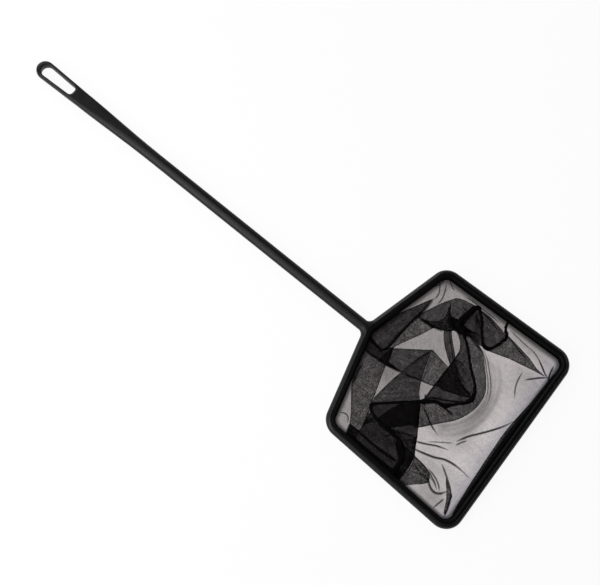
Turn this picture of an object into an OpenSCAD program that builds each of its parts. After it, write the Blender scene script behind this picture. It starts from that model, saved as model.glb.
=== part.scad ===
// Aquarium fish net, lying on its back with the mouth of the bag up.
// X runs along the handle to the base bar of the head, Z is up.
// The origin is under the middle of the whole net, on the surface it lies on.

/* [Net head] */
// Width of the head at its base bar, to the sharp corners that its sides would meet in
head_w = 150; // [130:1:200]
// Length of the head, from the corner at the neck to the outside of the base bar
head_l = 127.5; // [110:0.5:170]
// How far the roof sides reach along the handle's axis
roof_l = 18; // [10:0.5:30]
// How far each long side leans out between the shoulder and the base
side_lean = 5; // [0:0.5:10]
// Outer radius of the five corners of the head
corner_r = 12.5; // [10:0.5:18]

/* [Frame bar] */
// Depth of the frame bar, from back to front
bar_h = 7.5; // [6.5:0.1:9]
// Width of the frame bar, seen from the front
bar_w = 5.8; // [5:0.1:6.5]
// Width of the rounded rim outside the retaining ring
rim_w = 3.2; // [2.6:0.1:3.2]
// Height of the ledge that the ring presses the bag's hem against
ledge_h = 2.4; // [1.8:0.1:3]

/* [Retaining ring] */
// How far the ring lies below the front of the rim
ring_drop = 0.3; // [0.1:0.1:0.8]
// Clearance between the ring and the rim
ring_gap = 0.1; // [0.05:0.05:0.3]
// Chamfer on the ring's inner front edge
ring_chamfer = 0.7; // [0.3:0.1:1]

/* [Handle] */
// Length of the handle, from the end of the loop to the corner at the neck
handle_l = 285; // [180:1:400]
// Diameter of the handle's rod
rod_d = 7.5; // [6.5:0.1:9]
// Concave radius where the rod meets the roof sides
neck_r = 5; // [3:0.5:8]
// Depth of the web inside that radius
neck_h = 5; // [3:0.5:6]

/* [Hanging loop] */
// Width of the loop at its end
loop_w = 12; // [11:0.5:14]
// Thickness of the loop, flat on both faces
loop_t = 6; // [5:0.1:6.5]
// Wall of the loop at its end
loop_wall = 3; // [2:0.5:5]
// Length of the hanging slot
slot_l = 27; // [18:0.5:32]
// Width of the slot at the end of the loop
slot_w = 8.6; // [6:0.2:9]
// Width of the slot at the handle's side
slot_neck_w = 7.2; // [5:0.2:7.4]
// Length of the steep taper from the loop
loop_l = 41; // [38:1:50]
// Width of the handle where the steep taper ends
waist_w = 9.2; // [9:0.1:10]
// Length of the slow taper from there to the round rod
taper_l = 66; // [30:1:80]

/* [Bag] */
// Thickness of one panel of the bag
cloth_t = 0.6; // [0.4:0.1:1]
// Height of each pair of folded layers that lies on a panel
fold_h = 1; // [0.6:0.1:1.2]
// Gap between the bag and what it lies on or beside
bag_gap = 0.3; // [0.2:0.1:0.5]
// Thickness of the bag's hem
hem_t = 0.6; // [0.4:0.1:1]
// Width of the overlocked seam
seam_w = 1.6; // [1:0.1:2.5]
// Height of the overlocked seam
seam_h = 1.6; // [1:0.1:2]

/* [Hidden] */
$fn = 64;

// Overrun of every cut past the face it opens
cut = 0.5;
// The handle and the head lie along X, half of the whole length on each side
net_l = handle_l + head_l;
apex_x = handle_l - net_l / 2;
base_x = net_l / 2;
loop_x = -net_l / 2;
shoulder_x = apex_x + roof_l;
shoulder_y = head_w / 2 - side_lean;

// Sharp outer corners of the head, counter-clockwise from the neck
corners = [
    [apex_x, 0],
    [shoulder_x, -shoulder_y],
    [base_x, -head_w / 2],
    [base_x, head_w / 2],
    [shoulder_x, shoulder_y]
];
sides = len(corners);

// Points on the seam, as shares of the head's length from the neck and of half its width
seam_shares = [
    [0.59, 0.88], [0.60, 0.81], [0.63, 0.79], [0.61, 0.68], [0.59, 0.57], [0.55, 0.57],
    [0.50, 0.65], [0.45, 0.77], [0.42, 0.81], [0.39, 0.79], [0.37, 0.67], [0.36, 0.56],
    [0.43, 0.53], [0.48, 0.46], [0.54, 0.37], [0.60, 0.29], [0.64, 0.23], [0.67, 0.16],
    [0.68, 0.09], [0.66, 0.03], [0.61, -0.03], [0.56, -0.08], [0.51, -0.11], [0.47, -0.21],
    [0.38, -0.35], [0.28, -0.49], [0.29, -0.55], [0.36, -0.59], [0.45, -0.59], [0.53, -0.63],
    [0.57, -0.73], [0.57, -0.87]
];
// Outlines of the folds that lie on the bag's panels, as the same shares
fold_shares = [
    [[0.10, 0.02], [0.12, 0.32], [0.27, 0.70], [0.38, 0.81], [0.60, 0.78], [0.59, 0.57],
     [0.40, 0.54], [0.30, 0.42], [0.19, 0.05]],
    [[0.60, 0.79], [0.76, 0.77], [0.92, 0.70], [0.56, 0.54]],
    [[0.12, 0.06], [0.20, 0.08], [0.36, 0.24], [0.50, 0.20], [0.50, 0.02], [0.20, -0.14],
     [0.10, -0.13]],
    [[0.43, 0.55], [0.56, 0.56], [0.67, 0.39], [0.72, 0.20], [0.73, 0.05], [0.69, -0.12],
     [0.56, -0.37], [0.46, -0.25], [0.50, -0.09], [0.64, 0.01], [0.64, 0.17], [0.54, 0.33]],
    [[0.10, -0.11], [0.20, -0.12], [0.27, -0.42], [0.30, -0.68], [0.27, -0.80], [0.14, -0.46]],
    [[0.26, -0.48], [0.46, -0.20], [0.57, -0.52], [0.62, -0.66], [0.62, -0.83], [0.26, -0.82]],
    [[0.60, -0.63], [0.72, -0.64], [0.76, -0.73], [0.69, -0.86], [0.60, -0.86]]
];
// Outlines of the second folds, which lie on the first ones
deep_fold_shares = [
    [[0.48, 0.24], [0.63, 0.14], [0.65, 0.08], [0.53, 0.01], [0.48, 0.03]],
    [[0.30, -0.46], [0.44, -0.26], [0.53, -0.48], [0.59, -0.66], [0.59, -0.80], [0.55, -0.80],
     [0.52, -0.66], [0.35, -0.60]]
];
// Share of half the width at which the panels' common edge leaves the head
outside_share = 1.2;
// Share of the head's length past its ends, for the same edge
beyond_share = 0.2;

// Direction of the side that starts at corner i, and the turn made there
function side_dir(i) = let(v = corners[(i + 1) % sides] - corners[i % sides]) atan2(v.y, v.x);
function turn(i) = (side_dir(i) - side_dir((i + sides - 1) % sides) + 360) % 360;
// Distance from a sharp corner to where its arc starts
function tangent_l(i) = corner_r * tan(turn(i) / 2);
// Centre of the arc at corner i
function arc_centre(i) = corners[i]
    + tangent_l(i) * unit(side_dir(i))
    + corner_r * unit(side_dir(i) + 90);
function unit(a) = [cos(a), sin(a)];
// The head's rounded outline, moved inwards by inset
arc_steps = 12;
function outline(inset) = [
    for (i = [0:sides - 1]) for (k = [0:arc_steps])
        arc_centre(i) + (corner_r - inset) * unit(side_dir(i) - 90 - turn(i) * (1 - k / arc_steps))
];
// A point of the head from its shares
function head_point(share) = [apex_x + share.x * head_l, share.y * head_w / 2];

// A ring of one section carried round the head. In the section, the first number runs
// inwards from the outer edge of the head and the second is the height.
module round_the_head(section) {
    stations = sides * (arc_steps + 1);
    count = len(section);
    insides = [for (point = section) outline(point.x)];
    polyhedron(
        points = [
            for (j = [0:stations - 1]) for (m = [0:count - 1])
                [insides[m][j].x, insides[m][j].y, section[m].y]
        ],
        faces = [
            for (j = [0:stations - 1]) for (m = [0:count - 1])
                let(next_j = (j + 1) % stations, next_m = (m + 1) % count)
                    [j * count + m, next_j * count + m,
                     next_j * count + next_m, j * count + next_m]
        ]
    );
}

// The rim is round outside, from its top at the ring's seat down to the flat back
rim_r = bar_h / 2;
rim_start = acos((rim_w - rim_r) / rim_r);
rim_steps = 6;
function rim_arc(from, to) = [
    for (k = [0:rim_steps - 1])
        [rim_r, rim_r] + rim_r * unit(from + (to - from) * k / rim_steps)
];
frame_section = concat(
    rim_arc(rim_start, 180),
    rim_arc(180, 270),
    [[rim_r, 0]],
    [[bar_w, 0], [bar_w, ledge_h], [rim_w, ledge_h]]
);

ring_low = ledge_h + hem_t;
ring_top = bar_h - ring_drop;
ring_outer = rim_w + ring_gap;
ring_section = [
    [bar_w - ring_chamfer, ring_top],
    [ring_outer, ring_top],
    [ring_outer, ring_low],
    [bar_w, ring_low],
    [bar_w, ring_top - ring_chamfer]
];

// Solid of revolution along X between two widths
module taper(x, length, w_start, w_end) {
    translate([x, 0, rod_d / 2])
        rotate([0, 90, 0])
            cylinder(h = length, d1 = w_start, d2 = w_end);
}

loop_centre_x = loop_x + loop_w / 2;
waist_x = loop_x + loop_l;
rod_x = waist_x + taper_l;
// The rod runs on to the middle of the neck's bar
rod_end_x = apex_x + bar_w / 2;

// Side view of the handle: flat faces at the loop, which open out to the full rod
module handle_side_view() {
    polygon([
        [loop_x, (rod_d - loop_t) / 2],
        [waist_x, (rod_d - loop_t) / 2],
        [rod_x, 0],
        [rod_end_x, 0],
        [rod_end_x, rod_d],
        [rod_x, rod_d],
        [waist_x, (rod_d + loop_t) / 2],
        [loop_x, (rod_d + loop_t) / 2]
    ]);
}

// Front view of the handle: a half-round end on the loop
module handle_front_view() {
    translate([loop_centre_x, 0])
        circle(d = loop_w);
    translate([loop_centre_x, -loop_w / 2])
        square([rod_end_x - loop_centre_x, loop_w]);
}

slot_x = loop_x + loop_wall;
slot_end_x = slot_x + slot_l;

module slot_outline() {
    translate([slot_x + slot_w / 2, 0])
        circle(d = slot_w);
    translate([slot_end_x - slot_neck_w / 2, 0])
        circle(d = slot_neck_w);
    polygon([
        [slot_x + slot_w / 2, -slot_w / 2],
        [slot_end_x - slot_neck_w / 2, -slot_neck_w / 2],
        [slot_end_x - slot_neck_w / 2, slot_neck_w / 2],
        [slot_x + slot_w / 2, slot_w / 2]
    ]);
}

module handle() {
    difference() {
        intersection() {
            union() {
                taper(loop_x, loop_l, loop_w, waist_w);
                taper(waist_x, taper_l, waist_w, rod_d);
                taper(rod_x, rod_end_x - rod_x, rod_d, rod_d);
            }
            translate([0, loop_w, 0])
                rotate([90, 0, 0])
                    linear_extrude(2 * loop_w)
                        handle_side_view();
            linear_extrude(rod_d)
                handle_front_view();
        }
        translate([0, 0, -cut])
            linear_extrude(rod_d + 2 * cut)
                slot_outline();
    }
}

// Web between the rod and one roof side, with a concave edge that touches both
roof_dir = atan2(shoulder_y, roof_l);
neck_y = rod_d / 2 + neck_r;
neck_x = apex_x + (neck_y * cos(roof_dir) - neck_r) / sin(roof_dir);

module neck_web() {
    translate([0, 0, (bar_h - neck_h) / 2])
        linear_extrude(neck_h)
            difference() {
                polygon([
                    [neck_x, 0],
                    [neck_x, neck_y],
                    [neck_x, neck_y] + neck_r * unit(roof_dir - 90),
                    [neck_x, neck_y] + (neck_r + rim_w) * unit(roof_dir - 90),
                    [apex_x + bar_w / 2, 0]
                ]);
                translate([neck_x, neck_y])
                    circle(neck_r);
            }
}

module handle_frame() {
    color([0.05, 0.05, 0.055]) {
        round_the_head(frame_section);
        difference() {
            handle();
            seat_cut();
        }
        difference() {
            union() {
                neck_web();
                mirror([0, 1, 0])
                    neck_web();
            }
            seat_cut();
        }
    }
}

// Room for the ring, the hem and the bag inside the head
module seat_cut() {
    translate([0, 0, ledge_h])
        linear_extrude(bar_h + rod_d)
            polygon(outline(rim_w));
    translate([0, 0, -cut])
        linear_extrude(bar_h + rod_d)
            polygon(outline(bar_w));
}

module retaining_ring() {
    color([0.02, 0.02, 0.025])
        round_the_head(ring_section);
}

bag_inset = bar_w + bag_gap;
floor_top = bag_gap + cloth_t;

module bag_hem() {
    color([0.08, 0.08, 0.09])
        translate([0, 0, ledge_h])
            linear_extrude(hem_t)
                difference() {
                    polygon(outline(ring_outer));
                    polygon(outline(bag_inset + cloth_t));
                }
}

// The part of the plan on one side of the seam: 1 towards the base, -1 towards the handle
module side_of_seam(side) {
    first = seam_shares[0];
    last = seam_shares[len(seam_shares) - 1];
    far = side > 0 ? 1 + beyond_share : -beyond_share;
    polygon([
        for (share = concat(
            [[far, outside_share], [first.x, outside_share]],
            seam_shares,
            [[last.x, -outside_share], [far, -outside_share]]
        )) head_point(share)
    ]);
}

// One edge of the seam: a line at half the width beside its path, mitred at each point
seam_path = [for (share = seam_shares) head_point(share)];
seam_last = len(seam_path) - 1;
function heading(i) = let(v = seam_path[i + 1] - seam_path[i]) atan2(v.y, v.x);
function seam_edge(offset) = [
    for (i = [0:seam_last])
        let(
            before = heading(max(i - 1, 0)),
            after = heading(min(i, seam_last - 1)),
            bend = (after - before + 540) % 360 - 180
        )
            seam_path[i] + offset / cos(bend / 2) * unit(before + bend / 2 + 90)
];

module seam_plan(w) {
    right = seam_edge(-w / 2);
    polygon(concat(seam_edge(w / 2), [for (i = [0:seam_last]) right[seam_last - i]]));
}

module folds(outlines, low, side) {
    translate([0, 0, low])
        linear_extrude(fold_h)
            intersection() {
                difference() {
                    union() {
                        for (shares = outlines)
                            polygon([for (share = shares) head_point(share)]);
                    }
                    seam_plan(seam_w + 2 * bag_gap);
                }
                side_of_seam(side);
                polygon(outline(bag_inset + cloth_t + bag_gap));
            }
}

module bag_panel(side) {
    translate([0, 0, bag_gap])
        linear_extrude(cloth_t)
            intersection() {
                polygon(outline(bag_inset));
                side_of_seam(side);
            }
    translate([0, 0, floor_top])
        linear_extrude(ledge_h - floor_top)
            intersection() {
                difference() {
                    polygon(outline(bag_inset));
                    polygon(outline(bag_inset + cloth_t));
                }
                side_of_seam(side);
            }
    folds(concat(fold_shares, deep_fold_shares), floor_top, side);
    folds(deep_fold_shares, floor_top + fold_h, side);
}

module bag_handle_panel() {
    color([0.28, 0.27, 0.28])
        bag_panel(-1);
}

module bag_base_panel() {
    color([0.62, 0.6, 0.62])
        bag_panel(1);
}

module bag_seam() {
    color([0.1, 0.1, 0.1])
        translate([0, 0, floor_top])
            linear_extrude(seam_h)
                intersection() {
                    seam_plan(seam_w);
                    polygon(outline(bag_inset + cloth_t + bag_gap));
                }
}

handle_frame();
retaining_ring();
bag_hem();
bag_handle_panel();
bag_base_panel();
bag_seam();
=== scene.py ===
# %% [markdown]
# # An aquarium fish net
#
# The real object is one black plastic moulding, a loop, a long rod and a house-shaped head,
# with a bag of fine black mesh held in the head by a ring. The net lies on its back on a
# white table, so the bag is pressed flat and its folds show as darker and darker layers.
# The shapes were fixed in CAD first. This script loads them and dresses each one.
#
# All the small sizes below are in millimetres, and each piece is turned into metres when
# it is finished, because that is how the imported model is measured.

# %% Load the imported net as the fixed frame
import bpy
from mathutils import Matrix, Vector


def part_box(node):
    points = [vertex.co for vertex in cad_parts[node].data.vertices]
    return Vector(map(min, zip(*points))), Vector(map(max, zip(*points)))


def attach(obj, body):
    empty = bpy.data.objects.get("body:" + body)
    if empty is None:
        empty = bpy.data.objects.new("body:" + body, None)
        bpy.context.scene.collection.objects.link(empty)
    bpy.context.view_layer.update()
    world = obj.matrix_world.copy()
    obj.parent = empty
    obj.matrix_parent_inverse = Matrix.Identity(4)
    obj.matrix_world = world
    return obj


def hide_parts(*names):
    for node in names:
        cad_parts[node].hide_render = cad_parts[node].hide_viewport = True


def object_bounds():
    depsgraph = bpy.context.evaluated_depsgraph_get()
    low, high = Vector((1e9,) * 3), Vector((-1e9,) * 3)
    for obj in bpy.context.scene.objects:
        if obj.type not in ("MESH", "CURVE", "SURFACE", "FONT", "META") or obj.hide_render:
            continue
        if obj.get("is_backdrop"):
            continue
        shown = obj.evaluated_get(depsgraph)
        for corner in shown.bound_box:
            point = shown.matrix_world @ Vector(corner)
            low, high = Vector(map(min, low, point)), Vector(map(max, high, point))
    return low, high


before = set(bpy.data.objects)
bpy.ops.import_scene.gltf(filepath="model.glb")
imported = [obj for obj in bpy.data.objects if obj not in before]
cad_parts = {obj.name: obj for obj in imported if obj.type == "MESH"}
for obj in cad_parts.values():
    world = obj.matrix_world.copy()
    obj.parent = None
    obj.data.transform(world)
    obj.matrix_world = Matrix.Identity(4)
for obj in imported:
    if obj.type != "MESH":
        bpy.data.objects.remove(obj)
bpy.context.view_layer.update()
print("pieces in the packed model:", sorted(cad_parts))

# %% Bring in what the rest of the script uses
import math

import bmesh
import bpy
import numpy as np
from mathutils import Euler, Matrix, Vector, noise

MM = 0.001
scene = bpy.context.scene
scene.view_settings.view_transform = "Standard"
# The folded mesh is many see-through layers deep
scene.cycles.transparent_max_bounces = 64

# %% [markdown]
# ## The camera
#
# A photograph can be matched by eye, or by solving for the one pinhole camera that puts the
# known corners of the head and the end of the loop where the picture has them. Solving is
# more exact, and it also settles the object's proportions. The view is nearly straight
# down, tilted a little towards the handle's lower side and turned so that the handle
# climbs to the upper left.

# %% Place the camera that was solved from the five corners of the head
eye_mm = Vector((66.161, -189.056, 679.385))
eye_turn_deg = (13.427438, -7.055010, 38.346443)
camera = bpy.data.objects.new("camera", bpy.data.cameras.new("camera"))
camera.data.sensor_width = 36
camera.data.lens = 62.71
camera.location = eye_mm * MM
camera.rotation_euler = Euler([math.radians(a) for a in eye_turn_deg])
scene.collection.objects.link(camera)
scene.camera = camera
print("camera height above the table, mm:", round(eye_mm.z))

# %% [markdown]
# ## The head's plan
#
# Everything on the head follows one outline: five sides and five equal rounded corners,
# the widest side being the base bar. The plan is worked out once, from the same few sizes
# as the CAD, and every piece asks it for a line at some distance inside the edge.

# %% The head's sizes and corners
head_w, head_l, roof_l, side_lean, corner_r = 150, 127.5, 18, 5, 12.5
bar_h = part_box("handle_frame")[1].z / MM
base_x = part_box("handle_frame")[1].x / MM
loop_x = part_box("handle_frame")[0].x / MM
bar_w, rim_w, ledge_h, hem_t = 5.8, 3.2, 2.4, 0.6
apex_x = base_x - head_l
corners = [
    Vector((apex_x, 0)),
    Vector((apex_x + roof_l, side_lean - head_w / 2)),
    Vector((base_x, -head_w / 2)),
    Vector((base_x, head_w / 2)),
    Vector((apex_x + roof_l, head_w / 2 - side_lean)),
]
sides = len(corners)
print("bar depth, mm:", round(bar_h, 2), " neck at x, mm:", round(apex_x, 2))


# %% Directions, turns and inset corners of the plan
def side_way(i):
    """The direction of the side that starts at corner i, going counter-clockwise."""
    return (corners[(i + 1) % sides] - corners[i % sides]).normalized()


def left_of(way):
    """The direction a quarter turn to the left of another."""
    return Vector((-way.y, way.x))


def turn(i):
    """How far the outline turns at corner i, in radians."""
    return side_way(i - 1).angle_signed(side_way(i)) * -1


def inwards(i):
    """The direction into the head from side i."""
    return left_of(side_way(i))


def inset_corner(i, inset):
    """Where the two sides at corner i would meet, moved inwards."""
    return corners[i] + inset * (side_way(i) * math.tan(turn(i) / 2) + inwards(i))


print("turns at the corners, degrees:", [round(math.degrees(turn(i))) for i in range(sides)])


# %% [markdown]
# ## Turning a sketch into a piece
#
# A bmesh is a sketch of a mesh in memory. When a piece is ready, it is scaled to metres,
# its faces are turned outwards, and it becomes an object that rides on the net's one rigid
# body. The object itself stays at the origin, so that patterns in its material don't slide.

# %% Finish a piece
def finish_piece(bm, name, crease_deg=35, outwards=True):
    """Makes an object of a sketch in millimetres, smooth but for edges sharper than the angle."""
    if outwards:
        bmesh.ops.recalc_face_normals(bm, faces=bm.faces)
    bmesh.ops.scale(bm, vec=(MM, MM, MM), verts=bm.verts)
    mesh = bpy.data.meshes.new(name)
    bm.to_mesh(mesh)
    bm.free()
    mesh.shade_smooth()
    mesh.set_sharp_from_angle(angle=math.radians(crease_deg))
    piece = bpy.data.objects.new(name, mesh)
    scene.collection.objects.link(piece)
    return piece


def settle(piece, *modifiers):
    """Adds modifiers, given as a kind and its settings, and applies them to the mesh."""
    for kind, settings in modifiers:
        modifier = piece.modifiers.new(kind.lower(), kind)
        for key, value in settings.items():
            setattr(modifier, key, value)
    shaped = piece.evaluated_get(bpy.context.evaluated_depsgraph_get())
    mesh = bpy.data.meshes.new_from_object(shaped)
    piece.modifiers.clear()
    piece.data = mesh
    return piece


def join_meshes(meshes, into):
    """Writes several meshes into one."""
    bm = bmesh.new()
    for mesh in meshes:
        bm.from_mesh(mesh)
    bm.to_mesh(into)
    bm.free()


# %% [markdown]
# ## Carrying a section round the head
#
# The frame bar, the ring and the hem are each one section carried round the plan. A curve
# with a bevel shape could do it, but its corners would not be true arcs. Here the section
# is extruded along each straight side and spun round the centre of each corner, which is
# how a toolmaker would mill it.

# %% Carry a section round the head
corner_steps = 14
# Points nearer to each other than this are the same point
same_place = 0.01


def verts_of(parts):
    """The vertices among what an operator gives back."""
    return [part for part in parts if isinstance(part, bmesh.types.BMVert)]


def edges_of(parts):
    """The edges among what an operator gives back."""
    return [part for part in parts if isinstance(part, bmesh.types.BMEdge)]


def carry_round_head(section):
    """Sweeps a closed section, given as distances inside the edge and heights, round the head."""
    bm = bmesh.new()
    start = corners[0] + side_way(0) * corner_r * math.tan(turn(0) / 2)
    ring = [bm.verts.new((*(start + inset * inwards(0)), height)) for inset, height in section]
    edges = [bm.edges.new((ring[k - 1], ring[k])) for k in range(len(ring))]
    for i in range(sides):
        after = (i + 1) % sides
        cuts = [corner_r * math.tan(turn(k) / 2) for k in (i, after)]
        straight = (corners[after] - corners[i]).length - sum(cuts)
        made = bmesh.ops.extrude_edge_only(bm, edges=edges)["geom"]
        moved, edges = verts_of(made), edges_of(made)
        bmesh.ops.translate(bm, vec=(*(side_way(i) * straight), 0), verts=moved)
        spun = bmesh.ops.spin(
            bm, geom=moved + edges, cent=(*inset_corner(after, corner_r), 0), axis=(0, 0, 1),
            angle=turn(after), steps=corner_steps,
        )["geom_last"]
        edges = edges_of(spun)
    bmesh.ops.remove_doubles(bm, verts=bm.verts, dist=same_place)
    return bm


def arc(centre, radius, start_deg, end_deg, steps):
    """Points on an arc, as pairs of numbers."""
    angles = [math.radians(start_deg + (end_deg - start_deg) * k / steps) for k in range(steps + 1)]
    return [(centre[0] + radius * math.cos(a), centre[1] + radius * math.sin(a)) for a in angles]


# %% Draw the head's plan at some distance inside its edge
def head_plan(inset):
    """The outline of the head, moved inwards, with its rounded corners."""
    bm = bmesh.new()
    verts = [bm.verts.new((*inset_corner(i, inset), 0)) for i in range(sides)]
    bm.faces.new(verts)
    for i, vert in enumerate(verts):
        reach = (corner_r - inset) * math.tan(turn(i) / 2)
        bmesh.ops.bevel(
            bm, geom=[vert], offset=reach, offset_type="OFFSET", affect="VERTICES",
            segments=corner_steps, profile=0.5, material=-1,
        )
    # The bag's outer side is its lower side, so the face is turned to look down
    bmesh.ops.reverse_faces(bm, faces=bm.faces)
    bm.faces.ensure_lookup_table()
    outline = [Vector(loop.vert.co.xy) for loop in bm.faces[0].loops]
    bm.free()
    return outline


# %% [markdown]
# ## The frame bar
#
# The bar of the head is half-round outside. Inside it has a seat, a low ledge on which
# the hem of the bag lies and a wall that holds the ring. The section is drawn once.

# %% Draw the bar's section and carry it round
rim_r = bar_h / 2
rim_start_deg = math.degrees(math.acos((rim_w - rim_r) / rim_r))
bar_section = arc((rim_r, rim_r), rim_r, rim_start_deg, 270, corner_steps)
bar_section += [(bar_w, 0), (bar_w, ledge_h), (rim_w, ledge_h)]
bar = finish_piece(carry_round_head(bar_section), "bar")
print("frame bar faces:", len(bar.data.polygons))

# %% [markdown]
# ## The handle
#
# The real handle is a round rod that widens towards the loop while its top and bottom are
# pressed flat. A scaled cylinder would lose the two long facets, so it is a loft. Each ring
# is a round shape cut off by two flats. Near the loop it is a squarish oval and the flats
# cut deep. Towards the head it turns into a circle that the flats no longer touch, so the
# facets run out by themselves. The first rings widen on a half circle, which makes the
# loop's round end, and their section is turned about the middle of that round.

# %% Skin a row of rings
def loft(rings):
    """A closed skin over rings that all have the same number of points."""
    bm = bmesh.new()
    order = bm.verts.layers.int.new("order")
    hoop = [bm.verts.new(point) for point in rings[0]]
    for k, v in enumerate(hoop):
        v[order] = k
    edges = bm.faces.new(hoop).edges[:]
    for ring in rings[1:]:
        made = bmesh.ops.extrude_edge_only(bm, edges=edges)["geom"]
        edges = edges_of(made)
        for v in verts_of(made):
            v.co = ring[v[order]]
    bmesh.ops.edgeloop_fill(bm, edges=edges)
    bmesh.ops.recalc_face_normals(bm, faces=bm.faces)
    return bm


# %% Shape the handle from the loop to the neck
rod_r = bar_h / 2
loop_r, loop_half_t, loop_l, taper_l, waist_r = 6.5, 3, 38, 66, 5.5
rod_half_w, loop_power, loop_oval, facet_l = 4.1, 0.5, 1.1, 56
# The rod thickens and its section turns round from a little before the loop's end
thicker_before, rounder_before, ring_points = 4, 8, 64
rod_l = apex_x + rim_w - loop_x


def ease(values, low=0, high=1):
    """0 below low, 1 above high, and smooth between, for a number or for many at once."""
    share = np.clip((values - low) / (high - low), 0, 1)
    return share * share * (3 - 2 * share)


def handle_ring(along):
    """One ring of the handle, at a distance from the loop's end."""
    opening = ease((along - loop_l + thicker_before) / taper_l)
    half_w = loop_r + (waist_r - loop_r) * min(1, along / loop_l)
    half_w = half_w + (rod_half_w - half_w) * ease((along - loop_l) / taper_l)
    half_t = loop_half_t + (rod_r - loop_half_t) * opening
    # The round sides are those of a squarish oval, which two flats cut off
    roundness = ease((along - loop_l + rounder_before) / facet_l)
    power = loop_power + (1 - loop_power) * roundness
    oval_t = half_t * (loop_oval + (1 - loop_oval) * roundness)
    behind = max(0, loop_r - along)
    chord = math.sqrt(half_w**2 - behind**2)
    ring = []
    for c, s in arc((0, 0), 1, 0, 360, ring_points)[:-1]:
        y = chord * math.copysign(abs(c) ** power, c)
        # At the loop's round end the section is turned about the middle of the round
        reach = min(1, math.hypot(y, behind) / half_w)
        lift = min(half_t, oval_t * (1 - reach ** (2 / power)) ** (power / 2))
        ring.append((loop_x + along, y, rod_r + math.copysign(lift, s)))
    return ring


nose = [loop_r * (1 - math.cos(math.radians(a))) for a in (4, 12, 22, 33, 45, 58, 72, 90)]
stations = nose + [14, 24, 32, loop_l, 44, 50, 56, 63, 72, 84, 94, loop_l + taper_l, rod_l]
handle = finish_piece(loft([handle_ring(along) for along in stations]), "handle")
print("handle rings:", len(stations), " length, mm:", round(rod_l, 1))

# %% [markdown]
# ## The hanging slot
#
# The slot goes through the loop. It is half-round at the loop's end, and a squarer round
# on the handle's side, where its eased edges open into a shallow ramp. Spinning a profile
# gives a round hole only, so the cutter is another loft, a row of long outlines that get
# wider away from the middle of the loop. A boolean takes it out of the handle.

# %% Cut the slot
slot_l, slot_w, slot_neck_w, slot_start = 26.8, 8.6, 7.2, 4.1
# A power below 1 makes the end on the handle's side squarer than a half circle
squareness, end_steps = 0.65, 20
first_x = loop_x + slot_start + slot_w / 2
last_x = loop_x + slot_start + slot_l - slot_neck_w / 2
# Height from the middle of the loop, how much wider the slot is there, and the ramp
slot_levels = [(1.2, 0, 0.1), (2.3, 0.06, 0.4), (2.8, 0.2, 0.9), (3.4, 0.6, 1.5)]
slot_levels = [(-h, wider, ramp) for h, wider, ramp in reversed(slot_levels)] + slot_levels
slot_rings = []
for height, wider, ramp in slot_levels:
    plan = arc((first_x, 0), slot_w / 2 + wider, 90, 270, end_steps)
    end_r = slot_neck_w / 2 + wider
    for c, s in arc((0, 0), 1, -90, 90, end_steps):
        reach = end_r * max(c, 0) ** squareness
        plan.append((last_x + ramp + reach, end_r * math.copysign(abs(s) ** squareness, s)))
    slot_rings.append([(x, y, rod_r + height) for x, y in plan])
cutter = finish_piece(loft(slot_rings), "slot_cutter")
settle(handle, ("BOOLEAN", {"operation": "DIFFERENCE", "object": cutter}))
print("handle faces with its slot:", len(handle.data.polygons))

# %% [markdown]
# ## The neck
#
# Where the rod meets the two roof sides, each inner corner is a small concave fillet, and
# the half-round edge of the moulding runs on round it. That is the bar's own section spun
# round the fillet's centre, the inside of a ring doughnut. A flat web fills the middle.

# %% Spin the two fillets of the neck
neck_r, fillet_steps = 5, 16
roof_turn = math.atan2(corners[4].y, roof_l)
neck_y = rod_r + neck_r
neck_x = apex_x + (neck_y * math.cos(roof_turn) - neck_r) / math.sin(roof_turn)
neck = []
for side in (1, -1):
    fillet = bmesh.new()
    centre = (neck_r + rod_r, rod_r)
    section = arc(centre, rod_r, rim_start_deg, 360 - rim_start_deg, fillet_steps)
    section = [fillet.verts.new((neck_x, side * (neck_y - reach), z)) for reach, z in section]
    edge = fillet.faces.new(section)
    bmesh.ops.spin(
        fillet, geom=[edge, *edge.edges, *section], cent=(neck_x, side * neck_y, 0),
        axis=(0, 0, 1), angle=side * roof_turn, steps=corner_steps,
    )
    neck.append(finish_piece(fillet, "fillet"))

# %% Fill the web between them
# The web laps over the fillets and over the bar by these
fillet_lap, bar_lap, web_steps = 0.1, 0.15, 10
web_r = neck_r + rim_w - fillet_lap
web_end_deg = math.degrees(roof_turn) - 90
upper = arc((neck_x, neck_y), web_r, -90, web_end_deg, web_steps)
plan = upper + [(apex_x + rim_w + bar_lap, 0)] + [(x, -y) for x, y in reversed(upper)]
web = bmesh.new()
web.faces.new([web.verts.new((x, y, 0)) for x, y in plan])
lifted = bmesh.ops.extrude_face_region(web, geom=web.faces[:])["geom"]
bmesh.ops.translate(web, vec=(0, 0, bar_h), verts=verts_of(lifted))
neck.append(finish_piece(web, "web"))
print("fillet centre, mm:", round(neck_x, 2), round(neck_y, 2))

# %% [markdown]
# ## One moulding
#
# The bar, the handle and the neck are one piece of plastic, so they become one skin. A
# boolean union would leave hard lines where they meet. Remeshing the overlapping parts as
# fine voxels joins them and rounds every edge by a few tenths of a millimetre, as a mould
# does, and a little smoothing takes the voxel steps away.

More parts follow.
